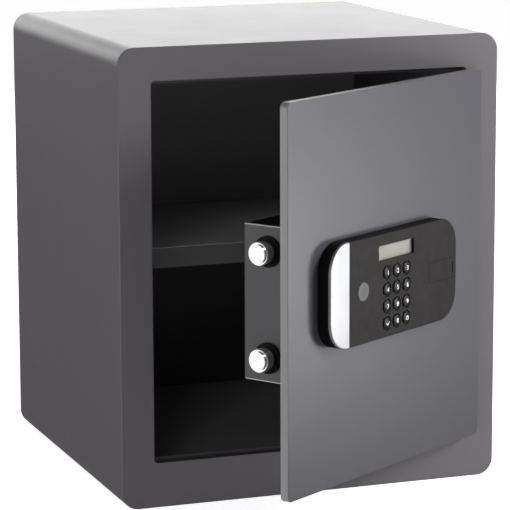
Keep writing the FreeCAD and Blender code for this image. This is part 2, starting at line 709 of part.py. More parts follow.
def make_bolt_collars():
    """Flanged guide sleeves that the bolts slide in."""
    collars = []
    for level in BOLT_LEVELS:
        flange = rod("x", "collar_radius", "case_left - collar_proud", "case_left",
                     ("bolt_y", level))
        sleeve = rod("x", "sleeve_radius", "case_left", "sleeve_end", ("bolt_y", level))
        bore = rod("x", "bolt_radius + running_gap", "case_left - collar_proud", "sleeve_end",
                   ("bolt_y", level))
        collars.append(cut(fuse(flange, sleeve), bore))
    node("bolt_collars", group(*collars), door_place())


def make_bolt(which, level):
    """A round bolt with a stepped nose, a bevelled shoulder and a tapped tail."""
    shoulder = "bolt_tip + bolt_nose"
    nose = rod("x", "bolt_nose_radius", "bolt_tip", f"{shoulder} + bolt_bevel",
               ("bolt_y", level))
    end = cone("x", "bolt_radius - bolt_bevel", "bolt_radius", shoulder,
               f"{shoulder} + bolt_bevel", ("bolt_y", level))
    shank = rod("x", "bolt_radius", f"{shoulder} + bolt_bevel", "bolt_tail",
                ("bolt_y", level))
    hole = rod("x", "bolt_screw_radius", "bolt_tail - bolt_tap", "bolt_tail",
               ("bolt_y", level))
    node(f"bolt_{which}", cut(fuse(nose, end, shank), hole), door_place())


def rack_teeth():
    """The rack's toothed strip, with a gap under the middle of the pinion."""
    module = size("gear_module")
    pitch_line = size("pinion_z") - module * size("pinion_teeth") / 2
    pitch = math.pi * module
    slope = math.tan(math.radians(20))
    half = pitch / 4 - size("tooth_play")
    low, high = size("rack_low"), pitch_line - 1.25 * module
    start = size("bolt_tail") + size("carrier_thick") - 1
    end = size("rack_end")
    points = [(start, low), (start, high)]
    first = math.ceil((start + pitch - size("pinion_x")) / pitch - 0.5)
    last = math.floor((end - pitch - size("pinion_x")) / pitch - 0.5)
    for tooth in range(first, last + 1):
        middle = size("pinion_x") + (tooth + 0.5) * pitch
        foot, tip = half + 1.25 * module * slope, half - module * slope
        points += [(middle - foot, high), (middle - tip, pitch_line + module),
                   (middle + tip, pitch_line + module), (middle + foot, high)]
    points += [(end, high), (end, low)]
    corners = [Vector(x, size("rack_front"), z) for x, z in points]
    face = Part.Face(Part.makePolygon(corners + corners[:1]))
    strip = DOC.addObject("Part::Feature", "RackTeeth")
    strip.Shape = face.extrude(Vector(0, size("rack_back") - size("rack_front"), 0))
    return strip


def make_bolt_carrier():
    """The bar that joins both bolts, with the rack that drives them."""
    carrier_right = "bolt_tail + carrier_thick"
    plate = box(("bolt_tail", carrier_right), ("carrier_front", "carrier_back"),
                ("carrier_low", "carrier_high"))
    holes = [rod("x", "bolt_screw_radius", "bolt_tail", carrier_right, ("bolt_y", level))
             for level in BOLT_LEVELS]
    node("bolt_carrier", cut(fuse(plate, rack_teeth()), *holes), door_place())


def make_bolt_screws():
    """Two screws from the carrier into the bolts' tails."""
    screws = []
    face = "bolt_tail + carrier_thick"
    for level in BOLT_LEVELS:
        head = rod("x", "bolt_head_radius", face, f"{face} + bolt_head_thick",
                   ("bolt_y", level))
        shank = rod("x", "bolt_screw_radius", "bolt_tail - bolt_screw_reach", face,
                    ("bolt_y", level))
        screws.append(fuse(head, shank))
    node("bolt_screws", group(*screws), door_place())


def make_drive_pinion():
    """An involute pinion on its shaft, standing over the rack."""
    builder = fcgear.FCWireBuilder()
    involute.CreateExternalGear(builder, size("gear_module"), int(size("pinion_teeth")),
                                20, True, 1.0, 1.25, 0.38, 0.0)
    outline = Part.Wire([piece.toShape() for piece in builder.wire])
    wheel = Part.Face(outline).extrude(Vector(0, 0, size("pinion_back") - size("pinion_front")))
    gear = DOC.addObject("Part::Feature", "Gear")
    gear.Shape = wheel
    centre = Vector(size("pinion_x"), size("pinion_front"), size("pinion_z"))
    gear.Placement = Placement(centre, TURNS["y"])
    shaft = rod("y", "shaft_radius", "shaft_front", "pinion_back + 1", ("pinion_x", "pinion_z"))
    node("drive_pinion", fuse(gear, shaft), door_place())


def make_gearbox():
    """The closed gearbox between motor and pinion."""
    block = box(("gearbox_left", "gearbox_right"),
                ("door_thick + chassis_sheet", "gearbox_back"),
                ("gearbox_low", "gearbox_high"))
    hole = rod("y", "shaft_radius + running_gap", "shaft_front - 1", "gearbox_back",
               ("pinion_x", "pinion_z"))
    node("gearbox", cut(block, hole), door_place())


def make_motor():
    """A small can motor with its end boss."""
    can = rod("x", "motor_radius", "gearbox_right", "gearbox_right + motor_length",
              ("motor_y", "motor_z"))
    boss = rod("x", "motor_boss", "gearbox_right + motor_length",
               "gearbox_right + motor_length + motor_boss_reach", ("motor_y", "motor_z"))
    node("motor", fuse(can, boss), door_place())


def make_control_board():
    """The lock's circuit board with its larger parts and the reset switch."""
    back = "board_y + board_thick"
    sheet = box(("board_left", "board_right"), ("board_y", back), ("board_low", "board_high"))
    chip = box(("chip_left", "chip_left + chip_side"), (back, f"{back} + chip_rise"),
               ("chip_low", "chip_low + chip_side"))
    socket = box(("socket_left", "socket_left + socket_width"), (back, f"{back} + socket_rise"),
                 ("socket_low", "socket_low + socket_height"))
    switch = box(("reset_x - switch_size / 2", "reset_x + switch_size / 2"),
                 (back, f"{back} + switch_rise"),
                 ("reset_z - switch_size / 2", "reset_z + switch_size / 2"))
    capacitor = rod("y", "capacitor_radius", back, f"{back} + capacitor_rise",
                    ("capacitor_x", "capacitor_z"))
    feet = [rod("y", "board_foot", "door_thick + chassis_sheet", "board_y", (x, z))
            for x in ("board_left + foot_inset", "board_right - foot_inset")
            for z in ("board_low + foot_inset", "board_high - foot_inset")]
    node("control_board", fuse(sheet, chip, socket, switch, capacitor, *feet), door_place())


def make_battery_holder():
    """A tray for four cells, open to the back of the case."""
    tray = box(("holder_left", "holder_right"), ("holder_front", "holder_back"),
               ("holder_low", "holder_high"))
    hollow = box(battery_opening_x(), ("holder_front + holder_wall / 2", "holder_back"),
                 battery_opening_z())
    node("battery_holder", cut(tray, hollow), door_place())


def make_batteries():
    """Four cells side by side, each with its contact nub."""
    cells = []
    depth = "holder_front + holder_wall / 2 + battery_radius + slide_gap"
    left = "holder_left + holder_wall + slide_gap"
    for count in range(4):
        level = f"(holder_low + holder_high) / 2 + ({count} - 1.5) * battery_pitch"
        can = rod("x", "battery_radius", left, f"{left} + battery_length", (depth, level))
        nub = rod("x", "battery_nub", f"{left} + battery_length",
                  f"{left} + battery_length + battery_nub / 2", (depth, level))
        cells.append(fuse(can, nub))
    node("batteries", group(*cells), door_place())


def make_battery_cover():
    """A sliding lid over the batteries, with a ribbed thumb grip."""
    plate = box(widened(battery_opening_x(), "cover_margin - slide_gap"),
                ("case_back + slide_gap / 3", "case_back + cover_thick"),
                ("holder_low - cover_margin", "holder_high + cover_margin"))
    middle = "(holder_low + holder_high) / 2"
    ribs = [box((f"rib_left + {count} * rib_pitch", f"rib_left + {count} * rib_pitch + rib_rise"),
                ("case_back + cover_thick", "case_back + cover_thick + rib_rise"),
                (f"{middle} - rib_half", f"{middle} + rib_half")) for count in range(4)]
    node("battery_cover", fuse(plate, *ribs), door_place())


def make_reset_button():
    """A long push button from the back of the case to the board."""
    start = "board_y + board_thick + switch_rise + key_travel + button_gap / 2"
    stem = rod("y", "reset_radius", start, "case_back + reset_proud", ("reset_x", "reset_z"))
    collar = rod("y", "reset_collar", "case_back - case_sheet - 2 * key_travel",
                 "case_back - case_sheet - key_travel", ("reset_x", "reset_z"))
    node("reset_button", fuse(stem, collar), door_place())


def make_keypad_cable():
    """The lead from the keypad through the door to the lock's board."""
    node("keypad_cable", group(rod("y", "cable_radius", "-pad_floor - circuit_stand", "board_y",
                                   ("cable_x", "cable_z"))), door_place())


# ----------------------------------------------------------------- keypad unit

def pad_slab(name, level, thick, corner):
    """A plate with the keypad unit's outline."""
    return front_slab(name, ("pad_left", "pad_right"), ("pad_low", "pad_high"),
                      level, thick, corner)


def make_keypad_housing():
    """The black tray: side walls, floor, screw bosses and the key lock's block."""
    body = pad_slab("Tray", FASCIA_BACK, "pad_proud - fascia_thick", "pad_round")
    hollow = front_slab("Hollow", ("pad_left + pad_wall", "pad_right - pad_wall"),
                        ("pad_low + pad_wall", "pad_high - pad_wall"), FASCIA_BACK,
                        "pad_proud - fascia_thick - pad_floor", "pad_round - pad_wall")
    block = box(("slot_left", "pad_right - pad_wall"), (FASCIA_BACK, "-pad_floor"),
                ("slot_low - block_margin", "slot_high + block_margin"))
    bosses = [rod("y", "boss_size", "-boss_back", "-pad_floor", place) for place in PAD_SCREWS]
    holes = [rod("y", "barrel_radius", FASCIA_BACK, "0", ("lock_x", "lock_z")),
             rod("y", "cable_hole", "-pad_floor", "0", ("cable_x", "cable_z"))]
    holes += [rod("y", "pad_screw_radius", "-boss_back", "0", place) for place in PAD_SCREWS]
    node("keypad_housing", cut(fuse(cut(body, hollow), block, *bosses), *holes), door_place())


def face_slab(name):
    """The unit's front plate, with softened front edges."""
    slab = pad_slab(name, PAD_FRONT, "fascia_thick", "pad_round")
    front = -size("pad_proud")
    fillet(slab, "fascia_round", lambda middle, run: abs(middle.y - front) < 0.01)
    return slab


def key_places():
    """Column and row formulas of the twelve keys, in reading order."""
    return [(f"key_middle + ({column} - 1) * key_pitch_x", f"key_top - {line} * key_pitch_z")
            for line in range(4) for column in range(3)]


def make_keypad_fascia():
    """The front plate with its openings for display, keys, badge and cover."""
    left = box(("pad_left - 1", "accent_right + seam"), (f"{PAD_FRONT} - 1", FASCIA_BACK),
               ("pad_low - 1", "pad_high + 1"))
    window = box(("lcd_left", "lcd_right"), (PAD_FRONT, FASCIA_BACK), ("lcd_low", "lcd_high"))
    slot = box(("slot_left", "pad_right + 1"), (f"{PAD_FRONT} - 1", FASCIA_BACK),
               ("slot_low", "slot_high"))
    badge = rod("y", "badge_radius + seam", PAD_FRONT, f"{PAD_FRONT} + badge_recess",
                ("badge_x", "lock_z"))
    keys = [rod("y", "key_hole", PAD_FRONT, FASCIA_BACK, place) for place in key_places()]
    dishes = [rod("y", "key_dish", PAD_FRONT, f"{PAD_FRONT} + key_dish_deep", place)
              for place in key_places()]
    node("keypad_fascia", cut(face_slab("Fascia"), left, window, slot, badge, *keys, *dishes),
         door_place())


def make_accent_panel():
    """The bright end of the front plate, on the free-edge side."""
    keep = box(("pad_left - 1", "accent_right"), (f"{PAD_FRONT} - 1", FASCIA_BACK),
               ("pad_low - 1", "pad_high + 1"))
    node("accent_panel", common(face_slab("Accent"), keep), door_place())


def make_badge_disc():
    """A plain round disc let into the fascia."""
    start = f"{PAD_FRONT} + badge_recess - badge_thick"
    node("badge_disc", group(rod("y", "badge_radius", start, f"{start} + badge_thick",
                                 ("badge_x", "lock_z"))), door_place())


def make_lcd_window():
    """The clear lens behind the fascia."""
    node("lcd_window", group(box(widened(("lcd_left", "lcd_right"), "lcd_border"),
                                 (FASCIA_BACK, f"{FASCIA_BACK} + lcd_lens"),
                                 widened(("lcd_low", "lcd_high"), "lcd_border"))), door_place())


def make_lcd_module():
    """The display on its board."""
    front = f"{FASCIA_BACK} + lcd_lens + lcd_gap"
    node("lcd_module", group(box(widened(("lcd_left", "lcd_right"), "lcd_border"),
                                 (front, CIRCUIT_FRONT),
                                 widened(("lcd_low", "lcd_high"), "lcd_border"))), door_place())


def make_key_mat():
    """The rubber sheet that the keys press on."""
    node("key_mat", group(box(("key_middle - key_pitch_x - mat_side",
                               "key_middle + key_pitch_x + mat_side"),
                              (f"{CIRCUIT_FRONT} - mat_rubber", CIRCUIT_FRONT),
                              ("key_top - 3 * key_pitch_z - mat_end",
                               "key_top + mat_end"))), door_place())


def make_keypad_board():
    """The keypad's circuit board on its four stands."""
    sheet = box(("circuit_left", "circuit_right"),
                (CIRCUIT_FRONT, "-pad_floor - circuit_stand"), ("circuit_low", "circuit_high"))
    stands = [rod("y", "board_foot", "-pad_floor - circuit_stand", "-pad_floor", (x, z))
              for x in ("circuit_left + foot_inset", "circuit_right - foot_inset")
              for z in ("circuit_low + foot_inset", "circuit_high - foot_inset")]
    node("keypad_board", fuse(sheet, *stands), door_place())


def make_keys():
    """Twelve domed keys, each a piece of its own."""
    names = ["1", "2", "3", "4", "5", "6", "7", "8", "9", "enter", "0", "lock"]
    crown = f"{PAD_FRONT} - key_proud"
    for name, (x, z) in zip(names, key_places()):
        stem = rod("y", "key_radius", f"{crown} - key_travel", f"{crown} + key_length", (x, z))
        domed = common(stem, ball("key_dome", x, f"{crown} + key_dome", z))
        flange = rod("y", "key_flange", f"{crown} + key_length - key_flange_thick",
                     f"{crown} + key_length", (x, z))
        node(f"key_{name}", fuse(domed, flange), door_place())


def make_keypad_screws():
    """Four screws from behind the door into the tray's bosses."""
    back = "door_thick + chassis_sheet"
    screws = []
    for place in PAD_SCREWS:
        head = rod("y", "head_radius", back, f"{back} + head_thick", place)
        shank = rod("y", "pad_screw_radius", "-pad_screw_reach", back, place)
        screws.append(fuse(head, shank))
    node("keypad_screws", group(*screws), door_place())


# ---------------------------------------------------------- emergency key lock

def make_override_cover():
    """The strip of the front that slides aside from the key lock."""
    strip = common(face_slab("Strip"),
                   box(("slot_left + seam", "pad_right"),
                       (PAD_FRONT, f"{FASCIA_BACK} - seam"),
                       ("slot_low + seam", "slot_high - seam")))
    grip = box(("pad_right - grip_inset - grip_width", "pad_right - grip_inset"),
               (PAD_FRONT, f"{PAD_FRONT} + grip_depth"),
               ("lock_z - grip_height / 2", "lock_z + grip_height / 2"))
    node("override_cover", cut(strip, grip), door_place())


def make_override_barrel():
    """The fixed sleeve of the key lock, through the door."""
    sleeve = rod("y", "barrel_radius", FASCIA_BACK, "barrel_back", ("lock_x", "lock_z"))
    bore = rod("y", "plug_radius + running_gap", FASCIA_BACK, "barrel_back",
               ("lock_x", "lock_z"))
    node("override_barrel", cut(sleeve, bore), door_place())


def make_override_plug():
    """The plug that the key turns, with its cam behind."""
    cam_front = "barrel_back + cam_gap"
    stem = rod("y", "plug_radius", FASCIA_BACK, cam_front, ("lock_x", "lock_z"))
    cam = box(("lock_x - cam_width / 2", "lock_x + cam_width / 2"),
              (cam_front, f"{cam_front} + cam_thick"),
              ("lock_z - plug_radius", "lock_z + cam_length"))
    hub = rod("y", "plug_radius", cam_front, f"{cam_front} + cam_thick", ("lock_x", "lock_z"))
    keyway = box(("lock_x - keyway_width / 2", "lock_x + keyway_width / 2"),
                 (FASCIA_BACK, f"{FASCIA_BACK} + keyway_depth"),
                 ("lock_z - keyway_height / 2", "lock_z + keyway_height / 2"))
    node("override_plug", cut(fuse(stem, cam, hub), keyway), door_place())


# ----------------------------------------------------------------------- build

def make_all():
    """Build every sub-part."""
    make_body_shell()
    make_rear_panel()
    make_front_frame()
    make_door_stop_frame()
    make_bolt_strike()
    make_floor_tray()
    make_floor_mat()
    make_shelf()
    make_shelf_rails()
    for which, level in HINGE_LEVELS.items():
        make_hinge_bracket(which, level)
        make_hinge_arm(which, level)
    make_hinge_pins()
    make_hinge_washers()
    make_hinge_bushes()
    make_hinge_screws()
    make_door_plate()
    make_lock_chassis()
    make_lock_case()
    make_case_end_caps()
    make_case_screws()
    make_bolt_collars()
    for which, level in zip(("upper", "lower"), BOLT_LEVELS):
        make_bolt(which, level)
    make_bolt_carrier()
    make_bolt_screws()
    make_drive_pinion()
    make_gearbox()
    make_motor()
    make_control_board()
    make_battery_holder()
    make_batteries()
    make_battery_cover()
    make_reset_button()
    make_keypad_cable()
    make_keypad_housing()
    make_keypad_fascia()
    make_accent_panel()
    make_badge_disc()
    make_lcd_window()
    make_lcd_module()
    make_key_mat()
    make_keypad_board()
    make_keys()
    make_keypad_screws()
    make_override_cover()
    make_override_barrel()
    make_override_plug()


def check_all():
    """Stop if any object failed or any sub-part is not a sound solid."""
    for thing in DOC.Objects:
        bad = {"Invalid", "Error"} & set(thing.State)
        if bad:
            raise RuntimeError(f"{thing.Name} ({thing.Label}) is {thing.State}")
    for piece in NODES:
        shape = piece.Shape
        if shape.isNull() or not shape.isValid() or not shape.Solids or shape.Volume <= 0:
            raise RuntimeError(f"{piece.Label} is not a sound solid")


make_all()
DOC.recompute()
check_all()
os.makedirs("parts", exist_ok=True)
for finished in NODES:
    finished.Shape.exportStep(f"parts/{finished.Label}.step")
print(f"{len(NODES)} sub-parts written")
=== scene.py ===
import json
import math

import bmesh
import bpy
from mathutils import Euler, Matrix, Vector


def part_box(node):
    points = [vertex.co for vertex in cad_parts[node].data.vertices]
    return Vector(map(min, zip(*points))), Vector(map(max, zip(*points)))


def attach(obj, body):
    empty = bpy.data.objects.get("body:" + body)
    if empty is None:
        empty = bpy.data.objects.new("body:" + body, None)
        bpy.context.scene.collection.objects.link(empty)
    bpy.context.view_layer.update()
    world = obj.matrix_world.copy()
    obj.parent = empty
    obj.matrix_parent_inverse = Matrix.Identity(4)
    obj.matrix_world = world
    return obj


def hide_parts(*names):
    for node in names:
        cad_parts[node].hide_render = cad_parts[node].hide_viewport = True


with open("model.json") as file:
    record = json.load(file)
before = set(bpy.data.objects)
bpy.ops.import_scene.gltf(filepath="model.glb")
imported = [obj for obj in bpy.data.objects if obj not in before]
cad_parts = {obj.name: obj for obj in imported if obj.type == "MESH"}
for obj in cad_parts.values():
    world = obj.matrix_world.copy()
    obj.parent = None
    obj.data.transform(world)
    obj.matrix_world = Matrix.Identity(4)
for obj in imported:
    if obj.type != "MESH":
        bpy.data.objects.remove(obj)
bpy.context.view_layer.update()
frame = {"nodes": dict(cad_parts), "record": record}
NODES = frame["nodes"]

MM = 0.001

# The door stands open by this angle; these unit vectors lie along its width and into the safe.
DOOR_ANGLE = math.radians(33)
ALONG = Vector((math.cos(DOOR_ANGLE), math.sin(DOOR_ANGLE), 0))
INTO = Vector((-math.sin(DOOR_ANGLE), math.cos(DOOR_ANGLE), 0))
UP = Vector((0, 0, 1))


def place_object(name, data):
    """A new object in the scene, made of a mesh, curve, light or camera."""
    made = bpy.data.objects.new(name, data)
    bpy.context.scene.collection.objects.link(made)
    return made


# ------------------------------------------------------------- material tools

class Look:
    """A node material while it is being put together."""

    def __init__(self, name, **shader_values):
        self.material = bpy.data.materials.new(name)
        self.material.use_nodes = True
        self.tree = self.material.node_tree
        self.shader = self.tree.nodes["Principled BSDF"]
        self.coordinates = self.add("ShaderNodeTexCoord")
        self.place = self.coordinates.outputs["Object"]
        self.set(**shader_values)

    def add(self, kind, **settings):
        """A new node with its own settings, such as operation."""
        made = self.tree.nodes.new(kind)
        for name, value in settings.items():
            setattr(made, name, value)
        return made

    def feed(self, socket, value):
        """Link a socket to another one, or set its number or colour."""
        if isinstance(value, bpy.types.NodeSocket):
            self.tree.links.new(value, socket)
        else:
            socket.default_value = value

    def set(self, **shader_values):
        """Feed the shader's sockets, with their spaces written as underscores."""
        for name, value in shader_values.items():
            self.feed(self.shader.inputs[name.replace("_", " ")], value)

    def stretched(self, factors):
        """The surface point with each axis scaled, for streaks."""
        mapping = self.add("ShaderNodeMapping")
        self.feed(mapping.inputs["Vector"], self.place)
        mapping.inputs["Scale"].default_value = factors
        return mapping.outputs["Vector"]

    def noise(self, size, detail, vector=None):
        """Noise from 0 to 1 whose blobs are about this many metres across."""
        made = self.add("ShaderNodeTexNoise")
        self.feed(made.inputs["Vector"], vector or self.place)
        made.inputs["Scale"].default_value = 1 / size
        made.inputs["Detail"].default_value = detail
        return made.outputs["Fac"]

    def cells(self, size):
        """0 at the middles of cells about this many metres across, and more towards their edges."""
        made = self.add("ShaderNodeTexVoronoi")
        self.feed(made.inputs["Vector"], self.place)
        made.inputs["Scale"].default_value = 1 / size
        return made.outputs["Distance"]

    def ramp(self, value, low, high, to_low=0.0, to_high=1.0):
        """A value mapped from one span to another, and held at its ends."""
        made = self.add("ShaderNodeMapRange")
        for name, fed in (("Value", value), ("From Min", low), ("From Max", high),
                          ("To Min", to_low), ("To Max", to_high)):
            self.feed(made.inputs[name], fed)
        return made.outputs["Result"]

    def patches(self, size, detail, low=0.3, high=0.7, to_low=0.0, to_high=1.0):
        """Noise whose span from low to high is mapped to another one."""
        return self.ramp(self.noise(size, detail), low, high, to_low, to_high)

    def maths(self, operation, first, second):
        """Two numbers put together by one operation, such as MULTIPLY."""
        made = self.add("ShaderNodeMath", operation=operation)
        self.feed(made.inputs[0], first)
        self.feed(made.inputs[1], second)
        return made.outputs["Value"]

    def blend(self, factor, first, second):
        """One colour turning into another as the factor goes from 0 to 1."""
        made = self.add("ShaderNodeMix", data_type="RGBA")
        self.feed(made.inputs["Factor"], factor)
        for name, colour in (("A", first), ("B", second)):
            socket = next(s for s in made.inputs if s.name == name and s.type == "RGBA")
            self.feed(socket, colour)
        return next(s for s in made.outputs if s.type == "RGBA")

    def facing(self, direction, none, full):
        """0 to 1 as the normal's share along a direction goes from none to full."""
        dot = self.add("ShaderNodeVectorMath", operation="DOT_PRODUCT")
        self.feed(dot.inputs[0], self.coordinates.outputs["Normal"])
        dot.inputs[1].default_value = direction
        share = self.add("ShaderNodeMath", operation="ABSOLUTE")
        self.feed(share.inputs[0], dot.outputs["Value"])
        return self.ramp(share.outputs["Value"], none, full)

    def along(self, axis, none, full):
        """0 to 1 as the X, Y or Z of the surface point goes from none to full metres."""
        split = self.add("ShaderNodeSeparateXYZ")
        self.feed(split.inputs["Vector"], self.place)
        return self.ramp(split.outputs[axis], none, full)

    def bump(self, height, depth, below=None):
        """Relief of this depth in metres, on top of an earlier bump."""
        made = self.add("ShaderNodeBump")
        made.inputs["Strength"].default_value = 1.0
        made.inputs["Distance"].default_value = depth
        self.feed(made.inputs["Height"], height)
        if below is not None:
            self.feed(made.inputs["Normal"], below)
        return made.outputs["Normal"]


def shade(colour, factor):
    """A colour made lighter or darker, with full alpha."""
    return (*(min(1.0, part * factor) for part in colour), 1.0)


# --------------------------------------------------------- kinds of material

def powder_coat(name, colour, roughness, peel, painted_light_mask=None, tone=0.0):
    """Baked paint: orange peel, fine speckle, faint clouds and handling smudges.

    The coat turns to a flat pale grey of painted light where the painted-light mask, made on the
    look, is 1.
    """
    look = Look(name)
    cloud = look.patches(size=0.11, detail=3)
    speckle = look.patches(size=0.0007, detail=1, low=0.35, high=0.65)
    clouded = look.blend(cloud, shade(colour, 0.985), shade(colour, 1.015))
    coat = look.blend(look.maths("MULTIPLY", speckle, 0.35), clouded, shade(colour, 1.2))
    smudge = look.patches(size=0.035, detail=4, low=0.35, high=0.7,
                          to_low=roughness - 0.008, to_high=roughness + 0.01)
    orange_peel = look.bump(look.noise(size=0.0022, detail=2), depth=peel)
    fine_peel = look.bump(look.noise(size=0.0005, detail=1), depth=peel / 5, below=orange_peel)
    # Painted light: a flat pale grey laid over the coat where the mask is 1.
    if painted_light_mask is not None:
        coat = look.blend(painted_light_mask(look), coat, (tone, tone, tone, 1))
    look.set(Base_Color=coat, Roughness=smudge, Normal=fine_peel)
    return look.material


def moulded(name, colour, roughness, grain_depth, grain_size=0.0006, gloss=0.5):
    """Moulded plastic, rubber or ink with a fine spark-eroded grain."""
    look = Look(name, Specular_IOR_Level=gloss)
    cloud = look.patches(size=0.02, detail=3)
    sheen = look.patches(size=0.008, detail=4,
                         to_low=roughness - 0.04, to_high=roughness + 0.05)
    look.set(Base_Color=look.blend(cloud, shade(colour, 0.9), shade(colour, 1.12)),
             Roughness=sheen,
             Normal=look.bump(look.noise(grain_size, detail=2), grain_depth))
    return look.material


def brushed(name, colour, roughness):
    """Metal with fine level streaks and faint stains."""
    look = Look(name, Metallic=1.0)
    streaks = look.noise(size=0.006, detail=3, vector=look.stretched((1.0, 1.0, 12.0)))
    stain = look.patches(size=0.012, detail=3)
    look.set(Base_Color=look.blend(stain, shade(colour, 0.86), shade(colour, 1.05)),
             Roughness=look.ramp(streaks, 0.3, 0.7, roughness - 0.07, roughness + 0.1),
             Normal=look.bump(streaks, depth=0.00001))
    return look.material


# ------------------------------------------------- where a coat has painted light

def painted_highlight_door_edges(look):
    """Painted highlight on the door's narrow edges, and not on its two broad faces."""
    return look.facing(INTO, none=0.9, full=0.3)


def painted_light_upper_inner_face(look):
    """Painted light where the back panel faces the space above the shelf; below the shelf the
    darker base coat stays.
    """
    above_shelf = look.along("Z", none=0.19, full=0.21)
    inner_face = look.along("Y", none=0.1645, full=0.163)
    return look.maths("MULTIPLY", above_shelf, inner_face)


def painted_light_level_faces(look):
    """Painted light on faces that look up or down."""
    return look.facing(UP, none=0.3, full=0.6)


def painted_highlight_level_and_sloping_faces(look):
    """Painted highlight on faces that look up or down, with the slopes and bends beside them."""
    return look.facing(UP, none=0.15, full=0.6)


# ----------------------------------------------- materials with one use each

def bolt_chrome():
    """Bright plating with faint fingerprints."""
    clean = (0.83, 0.83, 0.84, 1)
    marked = (0.74, 0.74, 0.75, 1)
    look = Look("bolt_chrome", Metallic=1.0)
    prints = look.patches(size=0.004, detail=4, low=0.45, high=0.7)
    look.set(Base_Color=look.blend(prints, clean, marked),
             Roughness=look.ramp(prints, 0.0, 1.0, 0.1, 0.16),
             Normal=look.bump(look.noise(size=0.0009, detail=2), depth=0.000001))
    return look.material


def bright_trim():
    """Silver-lacquered moulding: bright, smooth and only partly like metal."""
    darker = (0.245, 0.245, 0.25, 1)
    lighter = (0.26, 0.26, 0.265, 1)
    look = Look("bright_trim", Metallic=0.5)
    haze = look.patches(size=0.03, detail=2)
    look.set(Base_Color=look.blend(haze, darker, lighter),
             Roughness=look.ramp(haze, 0.0, 1.0, 0.28, 0.31),
             Normal=look.bump(look.noise(size=0.0015, detail=1), depth=0.0000002))
    return look.material


def felt():
    """Short felt: a nap of tangled fibres, lighter flecks and a soft sheen."""
    pit = (0.007, 0.007, 0.008, 1)
    fibre_tip = (0.032, 0.030, 0.029, 1)
    look = Look("felt", Roughness=0.95, Sheen_Weight=0.4, Sheen_Roughness=0.5)
    fibres = look.noise(size=0.0011, detail=5, vector=look.stretched((1.0, 2.4, 1.0)))
    tangle = look.noise(size=0.0028, detail=4, vector=look.stretched((2.0, 1.0, 1.0)))
    nap = look.maths("MULTIPLY", fibres, tangle)
    wear = look.patches(size=0.03, detail=3, to_low=0.85, to_high=1.15)
    lightness = look.maths("MULTIPLY", look.ramp(nap, 0.12, 0.42), wear)
    look.set(Base_Color=look.blend(lightness, pit, fibre_tip),
             Normal=look.bump(nap, depth=0.0009))
    return look.material


def clear_lens():
    """A clear cover: mostly see-through, with a hard gloss and a little dust."""
    clean = (0.80, 0.76, 0.74, 1)
    dusty = (0.86, 0.84, 0.81, 1)
    look = Look("lens", Roughness=0.04)
    dust = look.patches(size=0.0015, detail=3, low=0.6, high=0.8)
    look.set(Base_Color=look.blend(dust, clean, dusty),
             Alpha=look.ramp(dust, 0.0, 1.0, 0.1, 0.16))
    look.material.surface_render_method = "BLENDED"
    return look.material


def display():
    """A reflective liquid-crystal panel with faint level lines."""
    darker = (0.062, 0.068, 0.049, 1)
    lighter = (0.077, 0.084, 0.06, 1)
    line = (0.048, 0.053, 0.04, 1)
    look = Look("lcd", Roughness=0.4, Specular_IOR_Level=0.2)
    bands = look.add("ShaderNodeTexWave", wave_type="BANDS", bands_direction="Z")
    look.feed(bands.inputs["Vector"], look.place)
    bands.inputs["Scale"].default_value = 600
    panel = look.blend(look.patches(size=0.01, detail=2), darker, lighter)
    line_strength = look.maths("MULTIPLY", bands.outputs["Fac"], 0.12)
    look.set(Base_Color=look.blend(line_strength, panel, line),
             Normal=look.bump(look.noise(size=0.001, detail=1), depth=0.000005))
    return look.material


def circuit():
    """Solder mask with copper tracks showing through as lighter green cells."""
    mask = (0.02, 0.14, 0.06, 1)
    over_copper = (0.05, 0.27, 0.12, 1)
    look = Look("circuit", Roughness=0.4)
    tracks = look.ramp(look.cells(0.004), 0.25, 0.4)
    look.set(Base_Color=look.blend(tracks, mask, over_copper),
             Normal=look.bump(tracks, depth=0.00003))
    return look.material


def cell_jacket():
    """Plain blue battery film, scuffed down to grey and slightly wrinkled."""
    film = (0.11, 0.15, 0.24, 1)
    scuffed = (0.34, 0.36, 0.4, 1)
    look = Look("cell_jacket", Roughness=0.25, Metallic=0.6)
    scuffs = look.patches(size=0.003, detail=5, low=0.5, high=0.75)
    wrinkles = look.noise(size=0.006, detail=2, vector=look.stretched((1.0, 1.0, 4.0)))
    look.set(Base_Color=look.blend(scuffs, film, scuffed),
             Normal=look.bump(wrinkles, depth=0.00006))
    return look.material


# ------------------------------------------------------- the record's slots

# A coat's mask and tone lay painted light or a painted highlight over the paint.
COATS = {
    "body_paint": dict(colour=(0.081, 0.0755, 0.082), roughness=0.42, peel=0.00006),
    # door_paint is the body paint darkened: painted shade that offsets the key light on the open
    # door, so the shut door looks darker than the frame.
    "door_paint": dict(colour=(0.031, 0.0293, 0.0365), roughness=0.42, peel=0.00002,
                       painted_light_mask=painted_highlight_door_edges, tone=0.19),
    "rear_paint": dict(colour=(0.07, 0.066, 0.071), roughness=0.44, peel=0.00006,
                       painted_light_mask=painted_light_upper_inner_face, tone=0.31),
    "shelf_paint": dict(colour=(0.095, 0.09, 0.092), roughness=0.45, peel=0.00006,
                        painted_light_mask=painted_light_level_faces, tone=0.6),
    "inner_paint": dict(colour=(0.05, 0.047, 0.05), roughness=0.45, peel=0.00006),
    "case_steel": dict(colour=(0.036, 0.0335, 0.037), roughness=0.42, peel=0.00004,
                       painted_light_mask=painted_highlight_level_and_sloping_faces, tone=0.6),
}

